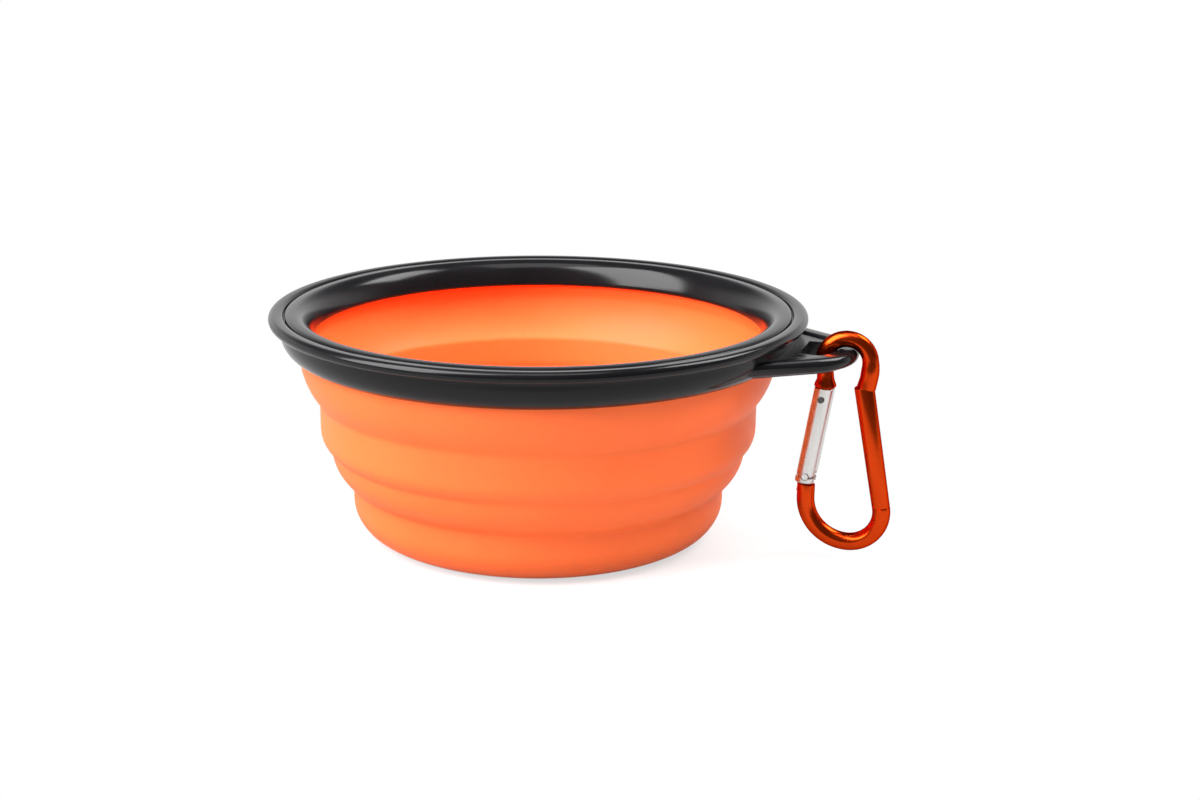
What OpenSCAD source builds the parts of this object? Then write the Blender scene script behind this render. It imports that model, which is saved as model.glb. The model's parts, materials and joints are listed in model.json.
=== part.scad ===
// Collapsible silicone bowl: a stepped silicone wall clamped in a two-piece rim,
// with a lug on the rim that carries a small spring-gate carabiner.
// Origin at the centre of the foot, +Z up, lug towards +X, millimetres.

/* [Rim] */
// Overall diameter over the brim
rim_d = 130; // [112:0.5:150]
// Height of the outer rim ring
rim_h = 9.4; // [8.4:0.1:11]
// Round of the brim's edge
brim_round = 1.3; // [1:0.05:1.5]
// How far the brim stands out past the skirt
brim_overhang = 2.7; // [2.4:0.1:3.2]
// Wall of the skirt outside the seam
skirt_wall = 1.2; // [1:0.05:1.6]
// Width of the skirt's lower edge
skirt_edge_w = 1.2; // [0.8:0.05:1.6]
// How far the inner ring's lip stands in over the silicone wall
lip_reach = 3.6; // [3.2:0.1:4]
// Width of the seam between the two rings
seam_w = 0.4; // [0.2:0.05:0.6]
// Depth of the seam
seam_depth = 1.6; // [0.8:0.1:2]

/* [Silicone wall] */
// Step in from the upper tier to the middle tier
upper_step = 4.5; // [3.8:0.1:5.2]
// Step in from the middle tier to the lower fold
middle_step = 2.5; // [2:0.1:3]
// Step in from the lower fold to the foot
lower_step = 5.1; // [4.2:0.1:6]
// Height of the foot tier
foot_h = 12.8; // [11:0.1:15]
// Round at the foot's lower edge
foot_round = 8.2; // [5:0.1:9]
// Height of the lower fold
lower_fold_h = 9.1; // [7:0.1:11]
// Height of the middle tier
middle_h = 11.9; // [10:0.1:14]
// Height of the curved lower part of the middle tier
middle_web_h = 4.6; // [3:0.1:6]
// Height of the curved wall above the middle tier
upper_web_h = 12; // [10:0.1:14]
// Wall of the stiff tiers
band_wall = 1.8; // [1.4:0.1:2.2]
// Wall of the folds
fold_wall = 1.2; // [0.8:0.1:1.4]
// Floor thickness
floor_t = 2.2; // [1.6:0.1:3]
// Width of the bead that the rim clamps
bead_w = 2.4; // [1.9:0.1:2.8]
// Height of the clamped bead
bead_h = 2.5; // [1.5:0.1:2.8]

/* [Lug] */
// How far the lug stands out from the brim
lug_l = 12.9; // [11.5:0.1:15]
// Radius of the lug's nose
lug_nose_r = 16; // [14:0.1:18]
// Width of the bar round the lug's slot
lug_bar_w = 5.2; // [4.6:0.1:5.8]
// Thickness of the lug's bar
lug_t = 3.3; // [2.8:0.1:3.8]
// Thickness of the plate inside the bar
lug_plate_t = 3.3; // [2.6:0.1:3.6]
// Half angle of the lug's nose
lug_half_angle = 55; // [50:1:60]
// Width of the lug's slot
slot_w = 13; // [11:0.5:15]

/* [Carabiner] */
// From the hook's centre down to the middle of the bow
carabiner_l = 43.7; // [38:0.1:50]
// Wire diameter in the hook
hook_wire_d = 3.6; // [3.2:0.1:4]
// Wire diameter of the bow
wire_d = 4.2; // [3.6:0.1:4.8]
// Diameter of the spine
spine_d = 4.4; // [3.8:0.1:5]
// Bow radius on the gate's side
bow_gate_r = 10; // [9.4:0.1:11]
// Bow radius on the spine's side
bow_spine_r = 7.9; // [7.1:0.1:8.7]
// How far the bow's centre lies outside the hook's centre
bow_offset = 1.8; // [1.5:0.05:2.1]
// Lean of the gate
gate_tilt = 8.9; // [7.5:0.1:9.5]
// Lean of the spine
spine_tilt = 9.8; // [8.5:0.1:11]
// Diameter of the gate
gate_d = 4.8; // [4.4:0.1:5.4]
// Gate rivet diameter
rivet_d = 1.5; // [1.2:0.1:1.7]
// Diameter of the pin across the gate that the nose catches
latch_d = 1.3; // [1:0.1:1.5]

/* [Hidden] */
$fn = 96;

// One overrun for all cuts, and the small gaps between pieces
over = 1;
seat_gap = 0.1;
free_gap = 0.3;
run_gap = 0.05;

// Radii of the rim, from the brim's edge in to the silicone wall
rim_r = rim_d / 2;
skirt_r = rim_r - brim_overhang;
ring_r = skirt_r - skirt_wall;
ring_wall = 0.5;
pocket_r = ring_r - ring_wall;
bead_r = pocket_r - free_gap;

// Radii and levels of the silicone wall
upper_r = bead_r - bead_w;
middle_r = upper_r - upper_step;
lower_r = middle_r - middle_step;
foot_r = lower_r - lower_step;
lower_top = foot_h + lower_fold_h;
middle_top = lower_top + middle_h;
web_top = middle_top + upper_web_h;
// The upper fold ends a little under the skirt, where the wall turns stiff
upper_fold_share = 0.87;
upper_fold_top = middle_top + upper_web_h * upper_fold_share;

// Levels of the rim, and its rounded edges as [r, z]
skirt_low = web_top + free_gap;
rim_top = skirt_low + rim_h;
shelf_t = 2.5;
shelf_z = skirt_low + shelf_t;
bead_low = shelf_z + seat_gap;
bead_top = bead_low + bead_h;
pocket_top = bead_top + seat_gap;
brim_c = [rim_r - brim_round, rim_top - brim_round];
undercut = 0.9;
skirt_arc_top = brim_c[1] - brim_round - 2 * undercut;
skirt_foot_r = upper_r + seat_gap + skirt_edge_w;
lip_r = upper_r - lip_reach;
lip_round = 0.45;
lip_rise = 0.4;
lip_z = shelf_z + lip_rise;
crest_out = 1.1;
crest_r = upper_r + crest_out;
curve_steps = 12;

function circle_arc(c, r, a, b) =
  [for (i = [0:curve_steps]) c + r * [cos(a + (b - a) * i / curve_steps), sin(a + (b - a) * i / curve_steps)]];
function bend_curve(p, q, s) =
  [for (i = [0:curve_steps]) let (t = i / curve_steps) (1 - t) * (1 - t) * p + 2 * t * (1 - t) * q + t * t * s];
// A web is an arc that starts upright at its top, high = [r, z], and runs in to low = [r, z]
function web_r(high, low) = (pow(high[0] - low[0], 2) + pow(high[1] - low[1], 2)) / (2 * (high[0] - low[0]));
function web_c(high, low) = [high[0] - web_r(high, low), high[1]];
function web_angle(high, low) = -atan2(high[1] - low[1], low[0] - web_c(high, low)[0]);
function web_line(high, low, wall) =
  circle_arc(web_c(high, low), web_r(high, low) - wall, web_angle(high, low), 0);
function backwards(list) = [for (i = [len(list) - 1:-1:0]) list[i]];

// The three webs, each as its high and low point on the outside
lower_web = [[lower_r, lower_top], [foot_r, foot_h]];
middle_web = [[middle_r, lower_top + middle_web_h], [lower_r, lower_top]];
upper_web = [[upper_r, web_top], [middle_r, middle_top]];

function wall_outside() = concat(
  [[0, 0]],
  circle_arc([foot_r - foot_round, foot_round], foot_round, -90, 0),
  web_line(lower_web[0], lower_web[1], 0),
  web_line(middle_web[0], middle_web[1], 0),
  web_line(upper_web[0], upper_web[1], 0),
  [[upper_r, bead_low], [bead_r, bead_low], [bead_r, bead_top]]);
function wall_inside() = concat(
  [[0, floor_t]],
  circle_arc([foot_r - foot_round, foot_round + floor_t - band_wall], foot_round - band_wall, -90, 0),
  [[foot_r - band_wall, foot_h]],
  web_line(lower_web[0], lower_web[1], fold_wall),
  [[lower_r - band_wall, lower_top]],
  web_line(middle_web[0], middle_web[1], band_wall),
  [[middle_r - band_wall, middle_top]],
  web_line(upper_web[0], upper_web[1], fold_wall),
  [[upper_r - band_wall, web_top + band_wall], [upper_r - band_wall, bead_top]]);

// The silicone wall between two levels, turned round the bowl's axis
module silicone_wall(low, high) {
  rotate_extrude()
    intersection() {
      polygon(concat(wall_outside(), backwards(wall_inside())));
      translate([0, low]) square([rim_r, high - low]);
    }
}

module foot() {
  color("darkorange") silicone_wall(0, foot_h);
}

module lower_fold() {
  color("coral") silicone_wall(foot_h, lower_top);
}

module middle_tier() {
  color("darkorange") silicone_wall(lower_top, middle_top);
}

module upper_fold() {
  color("coral") silicone_wall(middle_top, upper_fold_top);
}

module upper_tier() {
  color("darkorange") silicone_wall(upper_fold_top, bead_top);
}

// The lug's nose is centred where its radius leaves it at its reach
lug_x = rim_r + lug_l - lug_nose_r;
lug_drop = 6.3;
lug_z = rim_top - lug_drop;
lug_mid_r = lug_nose_r - lug_bar_w / 2;
lug_root_l = 12.8;
// The plate's top lies this much below the bar's
lug_step = 0.55;
slot_inner_x = rim_r + free_gap;

// The bar has full round edges
module bar_outline() {
  square([lug_bar_w - lug_t, lug_t], center = true);
  for (side = [-1, 1]) translate([side * (lug_bar_w - lug_t) / 2, 0]) circle(d = lug_t);
}

module lug_bar() {
  rotate([0, 0, -lug_half_angle])
    rotate_extrude(angle = 2 * lug_half_angle)
      translate([lug_mid_r, 0]) bar_outline();
  for (side = [-1, 1])
    rotate([0, 0, side * lug_half_angle])
      translate([lug_mid_r, 0, 0])
        rotate([side * -90, 0, 0])
          linear_extrude(lug_root_l) bar_outline();
}

module lug_plate() {
  translate([0, 0, lug_t / 2 - lug_step - lug_plate_t]) linear_extrude(lug_plate_t)
    difference() {
      union() {
        circle(r = lug_mid_r);
        polygon([for (side = [-1, 1])
          let (tip = lug_mid_r * [cos(lug_half_angle), side * sin(lug_half_angle)],
               along = [-sin(lug_half_angle), side * cos(lug_half_angle)])
          each side < 0 ? [tip + lug_root_l * along, tip] : [tip, tip + lug_root_l * along]]);
      }
      intersection() {
        circle(r = lug_nose_r - lug_bar_w);
        translate([slot_inner_x - lug_x, -slot_w / 2]) square([lug_nose_r, slot_w]);
      }
    }
}

module outer_section() {
  polygon(concat(
    [[upper_r + seat_gap, skirt_low], [upper_r + seat_gap, shelf_z], [pocket_r, shelf_z],
     [pocket_r, pocket_top], [ring_r, pocket_top], [ring_r, rim_top - seam_depth],
     [ring_r + seam_w, rim_top - seam_depth]],
    bend_curve([ring_r + seam_w, rim_top - brim_round / 2], [ring_r + seam_w, rim_top], [brim_c[0], rim_top]),
    backwards(circle_arc(brim_c, brim_round, -90, 90)),
    bend_curve(brim_c - [0, brim_round], [skirt_r, brim_c[1] - brim_round], [skirt_r, brim_c[1] - brim_round - undercut]),
    backwards(web_line([skirt_r, skirt_arc_top], [skirt_foot_r, skirt_low], 0))));
}

module outer_rim_ring() {
  color("dimgray")
    union() {
      rotate_extrude() outer_section();
      // The lug is cut off inside the skirt, where the clamped wall passes
      difference() {
        translate([lug_x, 0, lug_z]) {
          lug_bar();
          lug_plate();
        }
        cylinder(h = rim_top + over, r = (ring_r + skirt_r) / 2);
      }
    }
}

module inner_rim_ring() {
  color("darkslategray")
    rotate_extrude()
      polygon(concat(
        [[ring_r - run_gap, pocket_top + seat_gap]],
        bend_curve([ring_r - run_gap, rim_top - brim_round / 2], [ring_r - run_gap, rim_top - seat_gap], [crest_r, rim_top - seat_gap]),
        bend_curve([crest_r, rim_top - seat_gap], [lip_r + brim_round, rim_top - seat_gap], [lip_r, lip_z + lip_round]),
        circle_arc([lip_r + lip_round, lip_z + lip_round], lip_round, 180, 360),
        [[upper_r - band_wall - 2 * seat_gap, pocket_top + seat_gap]]));
}

// The carabiner lies in the XZ plane. Its points are [x, z] from the hook's centre,
// which is the point that it swings about.
hook_seat = 1.5;
hook_gap = 0.25;
bar_reach = norm([(lug_bar_w - lug_t) / 2, hook_seat]) + lug_t / 2;
hook_r = bar_reach + hook_gap + hook_wire_d / 2;
hook_x = lug_x + lug_mid_r;
hook_z = lug_z - hook_seat;
gate_arc_c = [bow_offset, bow_gate_r - carabiner_l];
spine_arc_c = [bow_offset, bow_spine_r - carabiner_l];
gate_along = [sin(gate_tilt), cos(gate_tilt)];
spine_along = [-sin(spine_tilt), cos(spine_tilt)];
bow_rise = 2.5;
bow_end = gate_arc_c + [-bow_gate_r, bow_rise];
spine_foot = spine_arc_c + bow_spine_r * [cos(spine_tilt), sin(spine_tilt)];
gate_foot_gap = 0.7;
gate_rise = gate_d / 2 + gate_foot_gap;
gate_pivot = bow_end + [0, gate_rise];
knee_drop = 5.2;
spine_l = (-knee_drop - spine_foot[1]) / cos(spine_tilt);
knee = spine_foot + spine_l * spine_along;
hook_end_angle = -25;
hook_end = hook_r * [cos(hook_end_angle), sin(hook_end_angle)];
nose_gap = 0.3;
nose_drop = 6.1;
gate_l = (-nose_drop - gate_pivot[1]) / cos(gate_tilt) - nose_gap;
collar_d = gate_d + free_gap;
collar_h = 2.6;
neck_d = 3.9;
nose_foot = gate_pivot + (gate_l + nose_gap) * gate_along;
neck = nose_foot + collar_h * gate_along;

// The gate's works, measured along it from its pivot
tang_t = 2.2;
tang_w = 3;
tang_h = 1.5;
tongue_t = 1.5;
tongue_w = 2.8;
tongue_l = 4.1;
tongue_gap = 0.8;
latch_drop = 2.7;
gate_wall = 0.7;
tip_l = 7.3;
chamber_r = gate_d / 2 - gate_wall;
chamber_top = gate_l - tip_l;
plunger_h = 2.6;
stem_gap = 0.25;
stem_h = 2.2;
spring_wire_d = 0.4;
spring_pitch = 1.15;
spring_r = chamber_r - free_gap - spring_wire_d / 2;
stem_r = spring_r - spring_wire_d / 2 - stem_gap;

module at_hook() {
  translate([hook_x, 0, hook_z]) children();
}

module at_gate() {
  at_hook() translate([gate_pivot[0], 0, gate_pivot[1]]) rotate([0, gate_tilt, 0]) children();
}

// A straight stretch of wire, which may taper from its start to its end
module rod(p, q, start_d, end_d) {
  translate([p[0], 0, p[1]])
    rotate([0, atan2(q[0] - p[0], q[1] - p[1]), 0])
      cylinder(h = norm(q - p), d1 = start_d, d2 = end_d);
}

module bend(c, r, a, b, d) {
  translate([c[0], 0, c[1]])
    rotate([90, 0, 0])
      rotate([0, 0, a])
        rotate_extrude(angle = b - a) translate([r, 0]) circle(d = d);
}

// A ball that rounds a kink, a little larger than the wire that it joins
module knot(p, d) {
  translate([p[0], 0, p[1]]) sphere(d = d + seat_gap);
}

module cross_pin(d, l) {
  rotate([90, 0, 0]) cylinder(h = l, d = d, center = true);
}

module carabiner_frame() {
  color("orangered")
    difference() {
      union() {
        at_hook() {
          bend([0, 0], hook_r, hook_end_angle, 180, hook_wire_d);
          rod([-hook_r, 0], neck, hook_wire_d, hook_wire_d);
          knot([-hook_r, 0], hook_wire_d);
          knot(neck, hook_wire_d);
          rod(hook_end, knee, hook_wire_d, spine_d);
          knot(hook_end, hook_wire_d);
          knot(knee, spine_d);
          rod(knee, spine_foot, spine_d, spine_d);
          bend(spine_arc_c, bow_spine_r, -90, spine_tilt, wire_d);
          bend(gate_arc_c, bow_gate_r, 180, 270, wire_d);
          rod(gate_arc_c - [bow_gate_r, 0], bow_end, wire_d, wire_d);
          knot(spine_foot, spine_d);
          knot([bow_offset, -carabiner_l], wire_d);
        }
        at_gate() {
          translate([0, 0, gate_l + nose_gap]) cylinder(h = collar_h, d1 = collar_d, d2 = neck_d);
          translate([-tongue_w / 2, -tongue_t / 2, gate_l - tongue_l])
            cube([tongue_w, tongue_t, tongue_l + nose_gap + over]);
          translate([-tang_w / 2, -tang_t / 2, -gate_rise - over]) cube([tang_w, tang_t, gate_rise + over + tang_h]);
        }
      }
      at_gate() {
        cross_pin(rivet_d, gate_d);
        // The notch that makes a hook of the tongue, open towards the spine
        translate([0, 0, gate_l - latch_drop]) {
          cross_pin(latch_d + 2 * seat_gap, gate_d);
          translate([0, -tongue_t, -latch_d / 2 - seat_gap]) cube([tongue_w, 2 * tongue_t, latch_d + 2 * seat_gap]);
        }
      }
    }
}

module latch_pin() {
  color("gray") at_gate() translate([0, 0, gate_l - latch_drop]) cross_pin(latch_d, gate_d);
}

module hinge_rivet() {
  color("gray") at_gate() cross_pin(rivet_d, gate_d);
}

module gate_tube() {
  color("silver")
    at_gate()
      difference() {
        union() {
          cylinder(h = gate_l, d = gate_d);
          intersection() {
            translate([0, 0, -gate_d / 2]) cylinder(h = gate_d / 2 + over, d = gate_d);
            cross_pin(gate_d, gate_d);
          }
        }
        translate([0, 0, -gate_d]) cylinder(h = gate_d + chamber_top, r = chamber_r);
        // The tang swings in this slot
        translate([-gate_d, -tang_t / 2 - seat_gap, -gate_d]) cube([2 * gate_d, tang_t + 2 * seat_gap, 1.5 * gate_d]);
        cross_pin(rivet_d + 2 * run_gap, gate_d + over);
        // The tongue leaves through the outer side
        translate([-gate_d, -tongue_t / 2 - free_gap / 2, gate_l - tongue_l - tongue_gap])
          cube([gate_d + tongue_w / 2 + free_gap, tongue_t + free_gap, tongue_l + tongue_gap + over]);
        translate([0, 0, gate_l - latch_drop]) cross_pin(latch_d, gate_d + over);
      }
}

plunger_low = tang_h + run_gap;
spring_low = plunger_low + plunger_h + spring_wire_d / 2 + run_gap;
spring_high = chamber_top - spring_wire_d / 2 - run_gap;
spring_turns = round((spring_high - spring_low) / spring_pitch);
spring_sides = 6;
turn_rings = 10;
spring_rings = spring_turns * turn_rings;

function spring_point(ring, side) =
  let (turn = 360 * ring / turn_rings, around = 360 * side / spring_sides,
       reach = spring_r + spring_wire_d / 2 * cos(around))
  [reach * cos(turn), reach * sin(turn),
   spring_low + (spring_high - spring_low) * ring / spring_rings + spring_wire_d / 2 * sin(around)];

module gate_spring() {
  color("lightgray")
    at_gate()
      polyhedron(
        points = [for (ring = [0:spring_rings], side = [0:spring_sides - 1]) spring_point(ring, side)],
        faces = concat(
          [[for (side = [0:spring_sides - 1]) side]],
          [for (ring = [0:spring_rings - 1], side = [0:spring_sides - 1], half = [0, 1])
            let (a = ring * spring_sides + side, b = ring * spring_sides + (side + 1) % spring_sides)
            half == 0 ? [a, a + spring_sides, b] : [b, a + spring_sides, b + spring_sides]],
          [[for (side = [spring_sides - 1:-1:0]) spring_rings * spring_sides + side]]));
}

module spring_plunger() {
  color("gray")
    at_gate() {
      translate([0, 0, plunger_low]) cylinder(h = plunger_h, r = chamber_r - seat_gap);
      translate([0, 0, plunger_low]) cylinder(h = plunger_h + stem_h, r = stem_r);
    }
}

foot();
lower_fold();
middle_tier();
upper_fold();
upper_tier();
outer_rim_ring();
inner_rim_ring();
carabiner_frame();
latch_pin();
hinge_rivet();
gate_tube();
gate_spring();
spring_plunger();
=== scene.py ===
# %% [markdown]
# A collapsible silicone bowl with a black rim and a small carabiner. The imported model is
# the fixed frame: each piece made here takes its levels and radii from it, so a piece lies
# where the solid that it stands for lies. The rim, carabiner and gate pieces are parented
# to an empty named after the body that each belongs to.

# %% Load the frame
import bpy
import json
from math import asin, atan2, cos, hypot, pi, radians, sin
from mathutils import Matrix, Vector


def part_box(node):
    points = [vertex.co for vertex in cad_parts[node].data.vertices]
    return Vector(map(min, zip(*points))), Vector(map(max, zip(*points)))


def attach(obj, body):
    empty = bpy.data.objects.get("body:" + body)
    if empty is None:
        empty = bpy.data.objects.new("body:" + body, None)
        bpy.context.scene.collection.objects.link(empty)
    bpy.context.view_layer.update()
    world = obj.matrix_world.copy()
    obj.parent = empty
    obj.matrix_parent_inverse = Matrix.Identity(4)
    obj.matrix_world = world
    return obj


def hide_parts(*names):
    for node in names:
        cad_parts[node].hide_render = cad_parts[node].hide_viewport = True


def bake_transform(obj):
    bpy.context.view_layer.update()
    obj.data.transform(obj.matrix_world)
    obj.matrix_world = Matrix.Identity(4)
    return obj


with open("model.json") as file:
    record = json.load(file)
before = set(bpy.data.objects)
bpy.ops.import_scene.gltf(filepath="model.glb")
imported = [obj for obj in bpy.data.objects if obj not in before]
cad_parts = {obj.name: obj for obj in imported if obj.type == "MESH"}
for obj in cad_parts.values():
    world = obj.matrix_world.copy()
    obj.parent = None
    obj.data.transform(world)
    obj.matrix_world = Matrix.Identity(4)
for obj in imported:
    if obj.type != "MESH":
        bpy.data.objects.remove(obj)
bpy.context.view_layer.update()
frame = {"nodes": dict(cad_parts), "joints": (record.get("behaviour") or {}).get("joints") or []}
mm = 0.001
joints = {joint["name"]: joint for joint in frame["joints"]}
print("frame loaded:", sorted(frame["nodes"]))

# %% [markdown]
# The camera looks down at the bowl from a little above the rim, from a forearm's length
# away. The lug is turned 19 degrees towards it, and the lens is near 52 mm on full frame.
# The bowl stands left of the picture's middle, so the lens is shifted a little.

# %% Camera
camera_turn, camera_pitch = radians(19.1), 0.274
camera_away, camera_height, camera_shift = 410.5 * mm, 147 * mm, 0.0515
focal_px, photo_w, sensor_w = 1728.8, 1200, 36

ahead = Vector((-sin(camera_turn), cos(camera_turn), 0))
camera_place = Vector((0, 0, camera_height)) - ahead * camera_away
bpy.ops.object.camera_add(location=camera_place, rotation=(pi / 2 - camera_pitch, 0, camera_turn))
camera = bpy.context.object
camera.data.sensor_width = sensor_w
camera.data.lens = focal_px * sensor_w / photo_w
camera.data.shift_x = camera_shift
camera.data.clip_start = 10 * mm
bpy.context.scene.camera = camera
bpy.context.scene.view_settings.view_transform = "Standard"
print("camera lens in mm:", round(camera.data.lens, 2))

# %% [markdown]
# Shader maths is easier to read as an expression. This class wraps a socket, so that
# `0.4 + 0.1 * cloud` adds the two Math nodes that it needs. A Graph is a node tree with one
# method that adds any other node, and a Finish is the graph of a material.

# %% Shader helpers
class Value:
    def __init__(self, graph, socket):
        self.graph, self.socket = graph, socket

    def maths(self, operation, *values):
        inputs = dict(enumerate(values))
        return self.graph.node("ShaderNodeMath", {"operation": operation}, inputs)

    def __add__(self, other): return self.maths("ADD", self, other)
    def __radd__(self, other): return self.maths("ADD", other, self)
    def __sub__(self, other): return self.maths("SUBTRACT", self, other)
    def __rsub__(self, other): return self.maths("SUBTRACT", other, self)
    def __mul__(self, other): return self.maths("MULTIPLY", self, other)
    def __rmul__(self, other): return self.maths("MULTIPLY", other, self)


class Graph:
    """A node tree of a material or a world."""
    def __init__(self, owner):
        owner.use_nodes = True
        self.tree = owner.node_tree

    def node(self, kind, settings=None, inputs=None, output=0):
        made = self.tree.nodes.new(kind)
        for key, value in (settings or {}).items():
            if key == "stops":
                for _ in range(len(value) - 2):
                    made.color_ramp.elements.new(0.5)
                for element, (place, colour) in zip(made.color_ramp.elements, value):
                    element.position, element.color = place, (*colour, 1)
            else:
                setattr(made, key, value)
        for key, value in (inputs or {}).items():
            if isinstance(value, Value):
                self.tree.links.new(value.socket, made.inputs[key])
            else:
                made.inputs[key].default_value = value
        return Value(self, made.outputs[output])

    def ramp(self, value, stops):
        return self.node("ShaderNodeValToRGB", {"stops": stops}, {"Fac": value})


class Finish(Graph):
    """A material, with constants set on the sockets of its shader."""
    def __init__(self, name, **settings):
        self.material = bpy.data.materials.new(name)
        super().__init__(self.material)
        self.shader = self.tree.nodes["Principled BSDF"]
        for socket, value in settings.items():
            self.shader.inputs[socket.replace("_", " ")].default_value = value

    def noise(self, scale, detail=2.0, stretch=(1, 1, 1), tilt=0.0):
        place = self.node("ShaderNodeTexCoord", output="Object")
        mapping = {"Vector": place, "Scale": stretch, "Rotation": (0, tilt, 0)}
        place = self.node("ShaderNodeMapping", None, mapping)
        return self.node("ShaderNodeTexNoise", None, {"Vector": place, "Scale": scale, "Detail": detail})

    def bump(self, height, distance, strength):
        inputs = {"Height": height, "Distance": distance, "Strength": strength}
        return self.node("ShaderNodeBump", None, inputs, "Normal")

    def feed(self, **links):
        for socket, value in links.items():
            self.tree.links.new(value.socket, self.shader.inputs[socket.replace("_", " ")])

    def paint(self, piece, slot=None):
        piece.data.materials.clear()
        piece.data.materials.append(self.material)


# %% [markdown]
# The silicone is satin and a little translucent: light goes in and comes out again warmer.
# A faint cloudy change of colour and a very fine grain keep it from looking like paint.

# %% Silicone finish
silicone = Finish("silicone_orange", Subsurface_Weight=0.25, Subsurface_Scale=1.5 * mm,
                  Subsurface_Radius=(1.0, 0.35, 0.12), Specular_IOR_Level=0.22)
cloud = silicone.noise(28, 3)
grain = silicone.noise(2600, 2)
silicone.feed(
    Base_Color=silicone.ramp(cloud, [(0.3, (0.96, 0.155, 0.034)), (0.7, (0.99, 0.172, 0.04))]),
    Roughness=0.42 + 0.1 * cloud,
    Normal=silicone.bump(grain, 0.02 * mm, 0.35))

# %% [markdown]
# The rim is moulded black plastic with a satin gloss. Slow unevenness in its roughness
# breaks up the long highlights, as moulding does.

# %% Rim finish
rim_black = Finish("rim_black", Specular_IOR_Level=0.27)
flow = rim_black.noise(60, 4)
pores = rim_black.noise(3200, 2)
rim_black.feed(
    Base_Color=rim_black.ramp(flow, [(0.3, (0.0035, 0.0035, 0.004)), (0.7, (0.006, 0.006, 0.007))]),
    Roughness=0.12 + 0.1 * flow,
    Normal=rim_black.bump(pores, 0.01 * mm, 0.25))

# %% [markdown]
# The carabiner is anodised aluminium, dyed metal under a clear hard layer. Its gate is
# bare aluminium with fine marks along its length. Its latch pin and spring parts are steel,
# painted much darker than bare steel as painted shade for the holes that the pins sit in,
# with a real mottle of tarnish over it.

# %% Metal finishes
anodised = Finish("anodised_orange", Metallic=1.0, Specular_Tint=(0.35, 0.2, 0.15, 1))
dye = anodised.noise(90, 3)
drawn = anodised.noise(420, 3, (1, 1, 0.06))
anodised.feed(
    Base_Color=anodised.ramp(dye, [(0.3, (0.66, 0.05, 0.005)), (0.7, (0.76, 0.065, 0.008))]),
    Roughness=0.2 + 0.05 * drawn,
    Normal=anodised.bump(drawn, 0.004 * mm, 0.1))

bare = Finish("bare_aluminium", Metallic=1.0)
lines = bare.noise(700, 4, (1, 1, 0.05))
bare.feed(
    Base_Color=bare.ramp(lines, [(0.3, (0.66, 0.65, 0.63)), (0.7, (0.82, 0.81, 0.79))]),
    Roughness=0.16 + 0.22 * lines,
    Normal=bare.bump(lines, 0.01 * mm, 0.3))

# The steel's dark colour is painted shade for the pin holes; its mottle is tarnish.
shaded_steel = Finish("pin_steel_painted_shade", Metallic=1.0)
tarnish = shaded_steel.noise(900, 3)
shaded_steel.feed(
    Base_Color=shaded_steel.ramp(tarnish, [(0.3, (0.1, 0.1, 0.1)), (0.7, (0.18, 0.175, 0.17))]),
    Roughness=0.25 + 0.2 * tarnish)

# %% [markdown]
# Most pieces start as a closed outline. A circle with as many corners as the outline has
# is laid on the outline's points, so that edit-mode operators can spin or extrude it.

# %% Outline helpers
def deselect():
    bpy.ops.object.select_all(action="DESELECT")


def make_active(piece):
    deselect()
    piece.select_set(True)
    bpy.context.view_layer.objects.active = piece


def edit(piece, *steps):
    """Runs each step, a function without arguments, on the whole piece in edit mode."""
    make_active(piece)
    bpy.ops.object.mode_set(mode="EDIT")
    bpy.ops.mesh.select_all(action="SELECT")
    for step in steps:
        step()
    bpy.ops.object.mode_set(mode="OBJECT")


def outline_object(name, points, turn=0.0, filled=False):
    """A closed outline of (r, z) points in the upright half plane at the angle turn."""
    deselect()
    fill = "NGON" if filled else "NOTHING"
    bpy.ops.mesh.primitive_circle_add(vertices=len(points), radius=mm, fill_type=fill)
    piece = bpy.context.object
    piece.name = piece.data.name = name
    for vertex, (r, z) in zip(piece.data.vertices, points):
        vertex.co = (r * cos(turn), r * sin(turn), z)
    return piece


def seal():
    """Merges doubles and turns every face outwards."""
    bpy.ops.mesh.select_all(action="SELECT")
    bpy.ops.mesh.remove_doubles(threshold=0.002 * mm)
    bpy.ops.mesh.select_all(action="SELECT")
    bpy.ops.mesh.normals_make_consistent(inside=False)


def smooth(piece, angle):
    make_active(piece)
    bpy.ops.object.shade_smooth_by_angle(angle=radians(angle))


def turned(name, points, steps=224, crease=35):
    """The outline turned round the bowl's axis, as on a lathe."""
    piece = outline_object(name, points)
    make_active(piece)
    bpy.ops.object.mode_set(mode="EDIT")
    bpy.ops.mesh.select_mode(type="EDGE")
    bpy.ops.mesh.select_all(action="DESELECT")
    bpy.ops.object.mode_set(mode="OBJECT")
    corners = piece.data.vertices
    for side in piece.data.edges:
        side.select = all(corners[v].co.xy.length < 0.001 * mm for v in side.vertices)
    if any(side.select for side in piece.data.edges):
        bpy.ops.object.mode_set(mode="EDIT")
        bpy.ops.mesh.delete(type="EDGE")
        bpy.ops.object.mode_set(mode="OBJECT")
    edit(piece, lambda: bpy.ops.mesh.spin(steps=steps, angle=2 * pi, center=(0, 0, 0), axis=(0, 0, 1)), seal)
    smooth(piece, crease)
    print("turned", name, "with", len(piece.data.polygons), "faces")
    return piece


def arc(centre, r, a, b, steps=24):
    turns = [a + (b - a) * i / steps for i in range(steps + 1)]
    return [(centre[0] + r * cos(t), centre[1] + r * sin(t)) for t in turns]


def curve(p, q, s, steps=18):
    """Points on the soft bend from p to s that leans towards q."""
    points = []
    for i in range(steps + 1):
        t = i / steps
        points.append(tuple((1 - t) ** 2 * p[k] + 2 * t * (1 - t) * q[k] + t * t * s[k] for k in (0, 1)))
    return points


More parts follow.
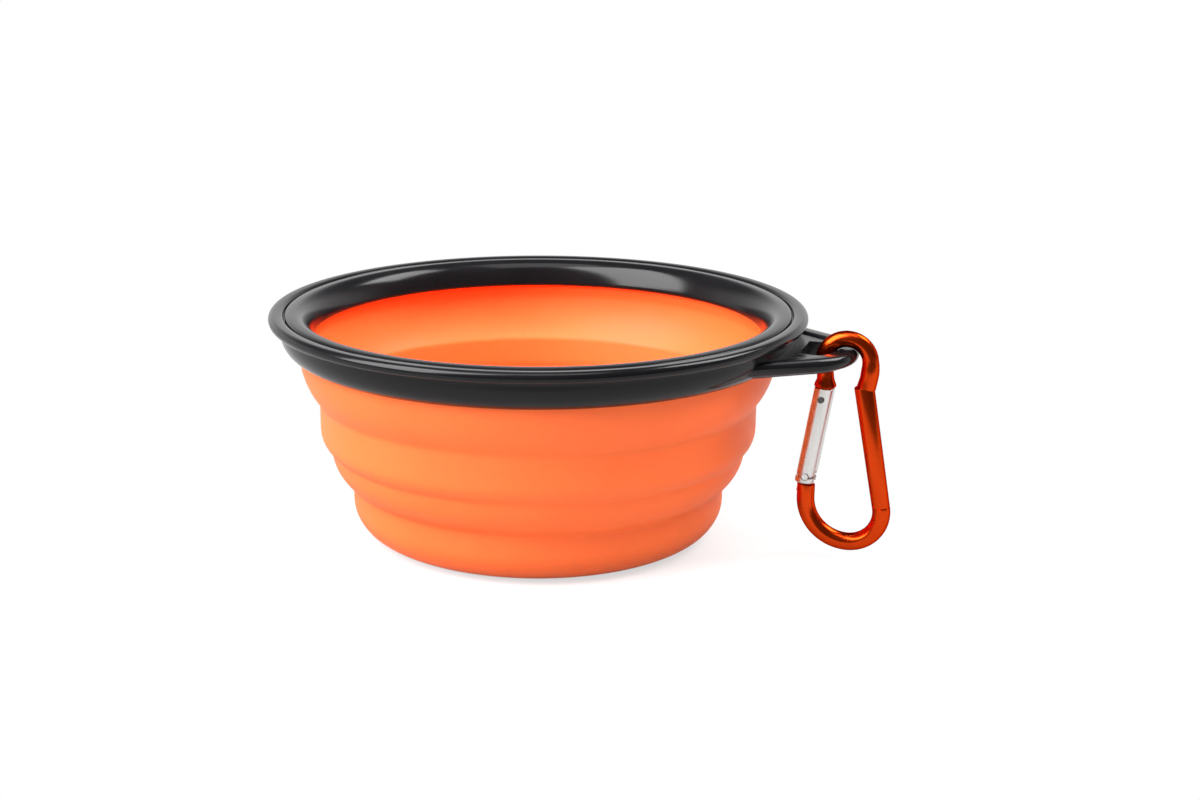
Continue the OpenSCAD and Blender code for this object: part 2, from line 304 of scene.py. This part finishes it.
# %% [markdown]
# The wall is one moulding of stepped tiers. A web joins each tier to the next: an arc that
# starts upright at its top. The outline is worked out once from the foot to the rim, laid
# out in short even steps, and its creases are eased by averaging neighbours.

# %% Outline of the silicone wall
def top_of(node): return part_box(node)[1].z
def reach_of(node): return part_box(node)[1].x


foot_r, lower_r, middle_r = reach_of("foot"), reach_of("lower_fold"), reach_of("middle_tier")
foot_top, lower_top, middle_top = top_of("foot"), top_of("lower_fold"), top_of("middle_tier")
upper_fold_top, wall_top, bead_r = top_of("upper_fold"), top_of("upper_tier"), reach_of("upper_tier")
bead_w, bead_h, skirt_gap = 2.4 * mm, 2.5 * mm, 0.3 * mm
upper_r, bead_low = bead_r - bead_w, wall_top - bead_h
rim_low, rim_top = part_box("outer_rim_ring")[0].z, top_of("outer_rim_ring")
band_wall, fold_wall, floor_t, foot_round = 1.8 * mm, 1.2 * mm, 2.2 * mm, 8.2 * mm
middle_web_h, floor_ease = 4.6 * mm, 1.4 * mm
middle_web_top = lower_top + middle_web_h
upper_web_top = rim_low - skirt_gap


def web(high, low, wall=0.0):
    across, down = high[0] - low[0], high[1] - low[1]
    r = (across ** 2 + down ** 2) / (2 * across)
    return arc((high[0] - r, high[1]), r - wall, -atan2(down, r - across), 0)


def eased(points, step=0.35 * mm, passes=6):
    even, left = [points[0]], step
    for a, b in zip(points, points[1:]):
        run, gone = hypot(b[0] - a[0], b[1] - a[1]), 0.0
        while run - gone > left:
            gone += left
            even.append((a[0] + (b[0] - a[0]) * gone / run, a[1] + (b[1] - a[1]) * gone / run))
            left = step
        left -= run - gone
    even.append(points[-1])
    for _ in range(passes):
        inner = [((p[0] + 2 * q[0] + s[0]) / 4, (p[1] + 2 * q[1] + s[1]) / 4)
                 for p, q, s in zip(even, even[1:], even[2:])]
        even = [even[0], *inner, even[-1]]
    return even


webs = [((lower_r, lower_top), (foot_r, foot_top)),
        ((middle_r, middle_web_top), (lower_r, lower_top)),
        ((upper_r, upper_web_top), (middle_r, middle_top))]
floor_r = foot_r - foot_round
outside = [(floor_r - floor_ease, 0), *arc((floor_r, foot_round), foot_round, -pi / 2, 0)]
inside = [(floor_r - floor_ease, floor_t)]
inside += arc((floor_r, foot_round + floor_t - band_wall), foot_round - band_wall, -pi / 2, 0)
inside += [(foot_r - band_wall, foot_top)]
for (high, low), wall in zip(webs, (fold_wall, band_wall, fold_wall)):
    outside += web(high, low)
    inside += [*web(high, low, wall), (high[0] - band_wall, high[1] + band_wall)]
outside = eased([*outside, (upper_r, bead_low)], passes=4)
inside = eased([*inside, (upper_r - band_wall, wall_top)], passes=2)
print("wall outline points:", len(outside), "outside,", len(inside), "inside")

# %% [markdown]
# The bowl folds in two places. The wall is made as two pieces that meet in the crease at
# the top of the middle tier: the lower one runs from the foot to that crease, and the upper
# one from there to the rim.

# %% Silicone wall
def part_of(line, low, high):
    """The stretch of a rising line between two levels, with its ends on them."""
    kept = []
    for a, b in zip(line, line[1:]):
        for level in (low, high):
            if a[1] < level <= b[1]:
                share = (level - a[1]) / (b[1] - a[1])
                kept.append((a[0] + (b[0] - a[0]) * share, level))
        if low < b[1] < high:
            kept.append(b)
    return kept


floor_rings = [(floor_r * share, 0) for share in (0, 0.2, 0.4, 0.6, 0.8)]
below = [*floor_rings, outside[0], *part_of(outside, 0.0, middle_top)]
above = [*((r, floor_t) for r, _ in floor_rings), inside[0], *part_of(inside, floor_t, middle_top)]
lower_wall = turned("silicone_lower_wall", [*below, *reversed(above)], crease=50)
silicone.paint(lower_wall, "silicone")
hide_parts("foot", "lower_fold", "middle_tier")
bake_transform(lower_wall)

bead = [(bead_r, bead_low), (bead_r, wall_top)]
upper_inside = reversed(part_of(inside, middle_top, wall_top))
upper_points = [*part_of(outside, middle_top, bead_low), *bead, *upper_inside]
upper_wall = turned("silicone_upper_wall", upper_points, crease=50)
silicone.paint(upper_wall, "silicone")
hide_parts("upper_fold", "upper_tier")
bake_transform(upper_wall)

# %% [markdown]
# The rim is two mouldings pressed together over the silicone's bead. The fine dark line
# between them is a real gap, so the rings are turned as two pieces.

# %% Rim rings
rim_r = -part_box("outer_rim_ring")[0].x
ring_play = 0.05 * mm
ring_r = reach_of("inner_rim_ring") + ring_play
seat_gap, free_gap = 0.1 * mm, 0.3 * mm
brim_round, undercut, brim_overhang = 1.3 * mm, 0.9 * mm, 2.7 * mm
seam_w, seam_depth, skirt_edge_w = 0.4 * mm, 1.6 * mm, 1.2 * mm
skirt_r, skirt_foot_r = rim_r - brim_overhang, upper_r + seat_gap + skirt_edge_w
brim = (rim_r - brim_round, rim_top - brim_round)
shelf_z, pocket_top, pocket_r = bead_low - seat_gap, wall_top + seat_gap, bead_r + free_gap

seam_out = ring_r + seam_w
outer_line = [(upper_r + seat_gap, rim_low), (upper_r + seat_gap, shelf_z), (pocket_r, shelf_z),
              (pocket_r, pocket_top), (ring_r, pocket_top), (ring_r, rim_top - seam_depth),
              (seam_out, rim_top - seam_depth)]
outer_line += curve((seam_out, rim_top - brim_round / 2), (seam_out, rim_top), (brim[0], rim_top))
outer_line += arc(brim, brim_round, pi / 2, -pi / 2)[1:]
outer_line += curve((brim[0], brim[1] - brim_round), (skirt_r, brim[1] - brim_round),
                    (skirt_r, brim[1] - brim_round - undercut))[1:]
outer_line += reversed(web((skirt_r, brim[1] - brim_round - 2 * undercut), (skirt_foot_r, rim_low)))
outer_rim = turned("outer_rim", outer_line, steps=288, crease=42)

lip_reach, crest_out, lip_round = 3.6 * mm, 1.1 * mm, 0.45 * mm
lip_r, crest_r = upper_r - lip_reach, upper_r + crest_out
lip_z, ring_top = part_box("inner_rim_ring")[0].z, rim_top - seat_gap
inner_r = ring_r - ring_play
inner_line = [(inner_r, pocket_top + seat_gap)]
inner_line += curve((inner_r, rim_top - brim_round / 2), (inner_r, ring_top), (crest_r, ring_top))
inner_line += curve((crest_r, ring_top), (lip_r + brim_round, ring_top), (lip_r, lip_z + lip_round))[1:]
inner_line += arc((lip_r + lip_round, lip_z + lip_round), lip_round, pi, 2 * pi)[1:]
inner_line += [(upper_r - band_wall - 2 * seat_gap, pocket_top + seat_gap)]
inner_rim = turned("inner_rim", inner_line, steps=288, crease=42)
rim_black.paint(inner_rim, "rim_plastic")
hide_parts("inner_rim_ring")
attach(inner_rim, "rim")

# %% [markdown]
# The lug is a slotted tab of the outer ring: a bar with full round edges, bent into a wide
# nose, round a thinner plate. The bar's section starts inside the skirt, is drawn out to
# the nose, spun round it, and drawn back into the skirt on the other side. What would show
# inside the ring is cut off within the skirt's wall, so that the bars sink into it.

# %% Lug
lug_nose_r, lug_bar_w, lug_t, lug_plate_t, lug_step = 16 * mm, 5.2 * mm, 3.3 * mm, 3.3 * mm, 0.55 * mm
lug_half_angle, lug_root, slot_w = radians(55), 20 * mm, 13 * mm
lug_drop, skirt_bite = 6.3 * mm, 0.5 * mm
lug_x, lug_z = reach_of("outer_rim_ring") - lug_nose_r, rim_top - lug_drop
lug_mid_r = lug_nose_r - lug_bar_w / 2
to_root = Vector((-sin(lug_half_angle), cos(lug_half_angle), 0)) * lug_root


def extrude(vector):
    bpy.ops.mesh.extrude_region_move(TRANSFORM_OT_translate={"value": vector})


def cap_ends():
    bpy.ops.mesh.select_all(action="DESELECT")
    bpy.ops.mesh.select_mode(type="EDGE")
    bpy.ops.mesh.select_non_manifold(extend=False)
    bpy.ops.mesh.edge_face_add()


def place(piece, shift):
    piece.data.transform(Matrix.Translation(shift))


def combine(piece, other, operation):
    """Adds other to piece, or cuts it away, with a boolean that is applied at once."""
    make_active(piece)
    boolean = piece.modifiers.new("combine", "BOOLEAN")
    boolean.operation, boolean.object, boolean.solver = operation, other, "EXACT"
    bpy.ops.object.modifier_apply(modifier=boolean.name)
    bpy.data.objects.remove(other)


edge_r, edge_off = lug_t / 2, (lug_bar_w - lug_t) / 2
bar_section = [*arc((lug_mid_r + edge_off, 0), edge_r, -pi / 2, pi / 2, 14),
               *arc((lug_mid_r - edge_off, 0), edge_r, pi / 2, 3 * pi / 2, 14)]
lug = outline_object("lug_bar", bar_section, lug_half_angle)
place(lug, to_root)
edit(lug,
     lambda: extrude(-to_root),
     lambda: bpy.ops.mesh.spin(steps=56, angle=2 * lug_half_angle, center=(0, 0, 0), axis=(0, 0, 1)),
     lambda: extrude((to_root.x, -to_root.y, 0)),
     cap_ends, seal)

plate_edge = [*arc((0, 0), lug_mid_r, -lug_half_angle, lug_half_angle, 56)]
tip = Vector((*plate_edge[-1], 0)) + to_root
plate_edge += [(tip.x, tip.y), (tip.x, -tip.y)]
plate = outline_object("lug_plate", plate_edge, filled=True)
for corner, (x, y) in zip(plate.data.vertices, plate_edge):
    corner.co = (x, y, lug_t / 2 - lug_step - lug_plate_t)
edit(plate, lambda: extrude((0, 0, lug_plate_t)), seal)

slot_r, slot_in = lug_nose_r - lug_bar_w, rim_r + free_gap - lug_x
slot_angle = asin(slot_w / 2 / slot_r)
slot_edge = [*arc((0, 0), slot_r, -slot_angle, slot_angle, 24), (slot_in, slot_w / 2), (slot_in, -slot_w / 2)]
slot = outline_object("lug_slot", slot_edge, filled=True)
for corner, (x, y) in zip(slot.data.vertices, slot_edge):
    corner.co = (x, y, -lug_t)
edit(slot, lambda: extrude((0, 0, 2 * lug_t)), seal)
combine(plate, slot, "DIFFERENCE")
combine(lug, plate, "UNION")
place(lug, (lug_x, 0, lug_z))

low_r, high_r = (upper_r + seat_gap + skirt_foot_r) / 2, pocket_r + skirt_bite
inside_skirt = turned("inside_skirt", [(0, 0), (low_r, 0), (low_r, shelf_z), (high_r, shelf_z),
                                       (high_r, 2 * rim_top), (0, 2 * rim_top)], steps=144)
combine(lug, inside_skirt, "DIFFERENCE")
combine(outer_rim, lug, "UNION")
edit(outer_rim, seal)
smooth(outer_rim, 42)
rim_black.paint(outer_rim, "rim_plastic")
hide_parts("outer_rim_ring")
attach(outer_rim, "rim")
print("outer rim with its lug:", len(outer_rim.data.polygons), "faces")

# %% [markdown]
# The carabiner is bent from one aluminium rod. Its hook and bow are round, and the spine
# between them is pressed a little flat. A line of stations (x, z, wire width) runs through
# each round stretch, measured from the hook's centre. A curve with a round bevel follows
# it, with its own radius at each station, and is then made a mesh.

# %% Carabiner lines
hook = Vector(joints["carabiner_swing"]["pos_m"])
pivot = Vector(joints["gate_hinge"]["pos_m"])
along = Vector(joints["plunger_slide"]["axis"]).normalized()
gate_tilt, spine_tilt = atan2(along.x, along.z), radians(10.5)
wire_w, hook_w, hook_mid_r = 4.2 * mm, 3.8 * mm, 5.42 * mm
bow_gate_r, bow_spine_r, bow_x, bow_z = 10.1 * mm, 7.83 * mm, 1.9 * mm, -43.7 * mm
gate_w, nose_drop, nose_gap = 4.8 * mm, 6.1 * mm, 0.3 * mm
nose_rise = hook.z - nose_drop - pivot.z
gate_l = nose_rise / along.z - nose_gap
nose_x = pivot.x - hook.x + nose_rise * along.x / along.z
foot_x, bow_end_z = pivot.x - hook.x, pivot.z - hook.z - 1.9 * mm

collar_line = [(nose_x, -6.28 * mm, 4.8 * mm), (nose_x, -6.1 * mm, 5.1 * mm),
               (nose_x, -5.6 * mm, 5.0 * mm), (nose_x, -4.9 * mm, 4.4 * mm),
               (nose_x, -4.3 * mm, 4.0 * mm), (nose_x - 0.1 * mm, -3.2 * mm, 3.9 * mm),
               (nose_x - 0.4 * mm, -1.6 * mm, 3.85 * mm)]
hook_line = [(x, z, hook_w) for x, z in arc((0, 0), hook_mid_r, pi, radians(8), 40)]
knee_line = [(5.48 * mm, -0.3 * mm, 3.95 * mm), (5.46 * mm, -1.3 * mm, 4.15 * mm),
             (5.4 * mm, -2.4 * mm, 4.25 * mm), (5.24 * mm, -3.6 * mm, 4.2 * mm),
             (4.98 * mm, -4.7 * mm, 4.3 * mm), (4.74 * mm, -5.8 * mm, 4.4 * mm)]
bow_line = [(foot_x, bow_end_z, wire_w)]
bow_line += [(x, z, wire_w) for x, z in arc((bow_x, bow_z + bow_gate_r), bow_gate_r, pi, 3 * pi / 2, 40)]
bow_line += [(x, z, wire_w) for x, z in
             arc((bow_x, bow_z + bow_spine_r), bow_spine_r, -pi / 2, spine_tilt, 40)[1:]]
spine_foot = Vector((bow_line[-1][0], 0, bow_line[-1][1]))
print("gate length and tilt:", round(gate_l / mm, 2), round(gate_tilt * 180 / pi, 2))


def rod(name, stations, sides=12):
    deselect()
    bpy.ops.curve.primitive_nurbs_path_add()
    wire = bpy.context.object
    wire.name, line = name, wire.data
    line.splines.clear()
    spline = line.splines.new("POLY")
    spline.points.add(len(stations) - 1)
    for point, (x, z, width) in zip(spline.points, stations):
        point.co = (hook.x + x, 0, hook.z + z, 1)
        point.radius = width / mm
    line.bevel_depth, line.bevel_resolution, line.use_fill_caps = mm / 2, sides, True
    bpy.ops.object.convert(target="MESH")
    edit(wire, seal)
    return wire


def joined(name, *pieces):
    make_active(pieces[0])
    for piece in pieces:
        piece.select_set(True)
    bpy.ops.object.join()
    pieces[0].name = pieces[0].data.name = name
    return pieces[0]


# %% [markdown]
# The spine is a bar whose section is between a circle and a square, with small bevels at
# both ends, so that a fine groove shows where it meets the bow and a ledge at the knee.

# %% Spine
spine_top_w, spine_low_w, spine_top_z = 4.6 * mm, 4.15 * mm, -5.45 * mm
spine_thick_share, squareness = 0.93, 2.25


def spine_bar():
    deselect()
    bpy.ops.mesh.primitive_cylinder_add(vertices=72, radius=1, depth=1)
    bar = bpy.context.object
    upward = Vector((-sin(spine_tilt), 0, cos(spine_tilt)))
    sideways = Vector((upward.z, 0, -upward.x))
    length = (spine_top_z - spine_foot.z) / upward.z
    for corner in bar.data.vertices:
        turn = atan2(corner.co.y, corner.co.x)
        reach = (abs(cos(turn)) ** squareness + abs(sin(turn)) ** squareness) ** (-1 / squareness)
        width, rise = (spine_top_w, length) if corner.co.z > 0 else (spine_low_w, 0)
        depth = Vector((0, spine_thick_share, 0)) * sin(turn)
        corner.co = hook + spine_foot + upward * rise + (sideways * cos(turn) + depth) * reach * width / 2
    soften(bar, 0.22 * mm)
    return bar


def soften(piece, width, segments=3, angle=50):
    """Bevels a piece's sharp edges."""
    make_active(piece)
    bevel = piece.modifiers.new("soften", "BEVEL")
    bevel.width, bevel.segments, bevel.angle_limit = width, segments, radians(angle)
    bpy.ops.object.modifier_apply(modifier=bevel.name)


# %% [markdown]
# Flat stock is an outline in the gate's own frame, with z along the gate from its pivot.
# The frame ends in two flats inside the gate: the tang that the rivet goes through, and
# the nose's tongue, a small hook that catches the gate's pin.

# %% Frame of the carabiner
at_gate = Matrix.Translation(pivot) @ Matrix.Rotation(gate_tilt, 4, "Y")
tang_w, tang_t, tang_low = 3 * mm, 2.2 * mm, -4.1 * mm
tongue_w, tongue_t, tongue_l = 2.8 * mm, 1.5 * mm, 4.1 * mm
pin_z, notch_r = gate_l - 2.7 * mm, 0.75 * mm


def flat(name, points, thick):
    piece = outline_object(name, points, filled=True)
    place(piece, (0, -thick / 2, 0))
    edit(piece, lambda: extrude((0, thick, 0)), seal)
    piece.data.transform(at_gate)
    return piece


tang_edge = [(-tang_w / 2, tang_low), (tang_w / 2, tang_low), *arc((0, 0), tang_w / 2, 0, pi, 16)]
tang = flat("tang", tang_edge, tang_t)
notch = [(tongue_w / 2, pin_z - notch_r), *arc((0, pin_z), notch_r, -pi / 2, -3 * pi / 2, 16),
         (tongue_w / 2, pin_z + notch_r)]
tongue = flat("tongue", [(-tongue_w / 2, gate_l - tongue_l), (tongue_w / 2, gate_l - tongue_l), *notch,
                         (tongue_w / 2, gate_l + 1.2 * mm), (-tongue_w / 2, gate_l + 1.2 * mm)], tongue_t)
hook_rod = rod("hook", collar_line + hook_line + knee_line)
bow_rod = rod("bow", bow_line)
end_slope = 0.13
for corner in bow_rod.data.vertices:
    if corner.co.z > hook.z + bow_end_z - 0.01 * mm:
        corner.co.z -= end_slope * (corner.co.x - hook.x - foot_x + wire_w / 2)
soften(bow_rod, 0.18 * mm)
spine = spine_bar()
carabiner = joined("carabiner", hook_rod, bow_rod, spine, tang, tongue)
smooth(carabiner, 40)
anodised.paint(carabiner, "anodised_wire")
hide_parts("carabiner_frame")
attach(carabiner, "carabiner")
print("carabiner frame:", len(carabiner.data.polygons), "faces")

# %% [markdown]
# The gate is a thin tube turned about its own axis, with a wider lip at its foot and a
# fine groove above the lip. It is slit for the tang below, on the side that the tang turns
# to, and for the tongue above, where the slit is open on the outer side, and its two cross
# pins sit in their holes.

# %% Gate
bore_r, lip_w, groove_r = 1.7 * mm, 5.0 * mm, 2.1 * mm
gate_low, lip_top, mouth_round = -1.62 * mm, -0.25 * mm, 0.2 * mm
gate_r = gate_w / 2
groove_h, neck_h, neck_in, shoulder_h = 0.35 * mm, 0.42 * mm, 0.05 * mm, 0.6 * mm
gate_line = [(bore_r, gate_low), (gate_r, gate_low), (lip_w / 2, gate_low + mouth_round),
             (lip_w / 2, lip_top - mouth_round), (gate_r, lip_top), (groove_r, lip_top),
             (groove_r, lip_top + groove_h), (gate_r - neck_in, lip_top + neck_h),
             (gate_r, lip_top + shoulder_h), (gate_r, gate_l - mouth_round),
             (gate_r - mouth_round, gate_l), (bore_r, gate_l)]
gate = turned("gate", gate_line, steps=96, crease=30)


def cutter(size, middle):
    deselect()
    bpy.ops.mesh.primitive_cube_add(size=1, location=middle)
    box = bpy.context.object
    box.scale = size
    return box


def pin_hole(height, width):
    deselect()
    bpy.ops.mesh.primitive_cylinder_add(vertices=32, radius=width / 2, depth=2 * gate_w,
                                        location=(0, 0, height), rotation=(pi / 2, 0, 0))
    return bpy.context.object


pin_play, slit_play, rivet_w, latch_w = 0.3 * mm, 0.2 * mm, 1.5 * mm, 1.3 * mm
combine(gate, cutter((2 * gate_w, tang_t + slit_play, 2 * tang_w), (gate_w, 0, -tang_w / 2)), "DIFFERENCE")
slit_h, slit_reach = tongue_l + 0.8 * mm, gate_w + tongue_w / 2
slit_middle = (tongue_w / 2 + slit_play - slit_reach / 2, 0, gate_l)
combine(gate, cutter((slit_reach, tongue_t + slit_play, 2 * slit_h), slit_middle), "DIFFERENCE")
combine(gate, pin_hole(0, rivet_w + pin_play), "DIFFERENCE")
combine(gate, pin_hole(pin_z, latch_w + pin_play), "DIFFERENCE")
level_share = 0.7
for corner in gate.data.vertices:
    corner.co.z += level_share * corner.co.x * sin(gate_tilt)
gate.data.transform(at_gate)
edit(gate, seal)
smooth(gate, 30)
bare.paint(gate, "bare_aluminium")
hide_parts("gate_tube")
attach(gate, "gate")
bare.paint(frame["nodes"]["hinge_rivet"])
# The latch pin and spring parts take the steel whose dark colour is painted shade.
for node in ("latch_pin", "gate_spring", "spring_plunger"):
    shaded_steel.paint(frame["nodes"][node])
print("gate:", len(gate.data.polygons), "faces")

# %% [markdown]
# The scene is a white sweep. The floor shows itself to the camera mostly as plain white
# light, with a little of its lit surface, so that a faint shadow stays. A large softbox
# stands on the left, a small lamp high at the back on the right, and the room behind the
# camera is dark, which gives the black rim and the metal their contrast.

# %% Floor, lamps and world
to_camera = -ahead
to_right = Vector((ahead.y, -ahead.x, 0))
room_light, dark_room, reflected_glow = 0.38, 0.13, 0.45
shadow_r, clear_r, shadow_glow = 46 * mm, 76 * mm, 0.62
card_w, card_lift = 1.6, 0.5 * mm
look_at = Vector((0, 0, 30 * mm))


def rays(graph, *kinds):
    """1 for a ray of one of these kinds."""
    return sum(graph.node("ShaderNodeLightPath", output=f"Is {kind} Ray") for kind in kinds)


def softbox(name, azimuth, height, width, tall, brightness, away=0.9):
    """An area lamp, placed by its angles in degrees, to the right and up from the camera's side."""
    turn, rise = radians(azimuth), radians(height)
    towards = (to_camera * cos(turn) + to_right * sin(turn)) * cos(rise) + Vector((0, 0, sin(rise)))
    deselect()
    facing = towards.to_track_quat("Z", "Y").to_euler()
    bpy.ops.object.light_add(type="AREA", location=look_at + towards * away, rotation=facing)
    lamp = bpy.context.object
    lamp.name, lamp.data.shape = name, "RECTANGLE"
    lamp.data.size, lamp.data.size_y = width, tall
    lamp.data.energy = brightness * pi * width * tall
    return lamp


deselect()
bpy.ops.mesh.primitive_plane_add(size=6)
floor = bpy.context.object
floor.name = "floor"
paper = Finish("paper", Base_Color=(0.86, 0.86, 0.86, 1), Roughness=0.9, Specular_IOR_Level=0.0)
glow = paper.node("ShaderNodeEmission", None, {"Color": (1, 1, 1, 1), "Strength": 1.0})
paper.feed(Base_Color=0.86 - 0.45 * rays(paper, "Diffuse") - 0.55 * rays(paper, "Glossy"))
lit = Value(paper, paper.shader.outputs[0])
ground = paper.node("ShaderNodeTexCoord", output="Object")
out_r = paper.node("ShaderNodeVectorMath", {"operation": "LENGTH"}, {0: ground}, "Value")
whiteness = paper.node("ShaderNodeMapRange", None, {"Value": out_r, "From Min": shadow_r, "From Max": clear_r,
                                                    "To Min": shadow_glow, "To Max": 1.0})
seen = rays(paper, "Camera") + reflected_glow * rays(paper, "Glossy", "Transmission")
mixed = paper.node("ShaderNodeMixShader", None, {0: whiteness * seen, 1: lit, 2: glow})
paper.tree.links.new(mixed.socket, paper.tree.nodes["Material Output"].inputs["Surface"])
paper.paint(floor)

softbox("key", -66, 42, 0.7, 0.95, 10)
softbox("back_light", 107, 50, 0.4, 0.4, 10)
softbox("overhead", 0, 80, 0.5, 0.5, 2.5)
fill = softbox("fill", 72, 62, 0.6, 0.6, 8)
fill.visible_glossy = False


def dark_card(name, low, high):
    """A black card that lies in front, out of the camera's sight, and shows in reflections only."""
    deselect()
    bpy.ops.mesh.primitive_plane_add(size=1)
    card = bpy.context.object
    card.name = name
    for corner in card.data.vertices:
        sideways = to_right * (corner.co.x * card_w)
        corner.co = sideways + to_camera * (low if corner.co.y < 0 else high) + Vector((0, 0, card_lift))
    card.visible_camera = card.visible_diffuse = card.visible_shadow = False
    card.visible_transmission = False
    black_card.paint(card)


black_card = Finish("black_card", Base_Color=(0.01, 0.01, 0.01, 1), Specular_IOR_Level=0.0)
dark_card("front_card", 0.24, 1.2)

world = bpy.data.worlds.new("studio")
bpy.context.scene.world = world
studio = Graph(world)
direction = studio.node("ShaderNodeTexCoord", output="Generated")
forward = studio.node("ShaderNodeVectorMath", {"operation": "DOT_PRODUCT"}, {0: direction, 1: ahead}, "Value")
behind = studio.node("ShaderNodeMapRange", None, {"Value": forward, "From Min": -0.1, "From Max": 0.35})
upward = studio.node("ShaderNodeSeparateXYZ", None, {0: direction}, "Z")
low = studio.node("ShaderNodeMapRange", None, {"Value": upward, "From Min": 0.5, "From Max": 0.25})
reflected = dark_room + (1 - dark_room) * behind * low
level = room_light + rays(studio, "Camera") * (1 - room_light)
level = level + rays(studio, "Glossy", "Transmission") * (reflected - room_light)
background = world.node_tree.nodes["Background"]
background.inputs["Color"].default_value = (1, 1, 1, 1)
studio.tree.links.new(level.socket, background.inputs["Strength"])
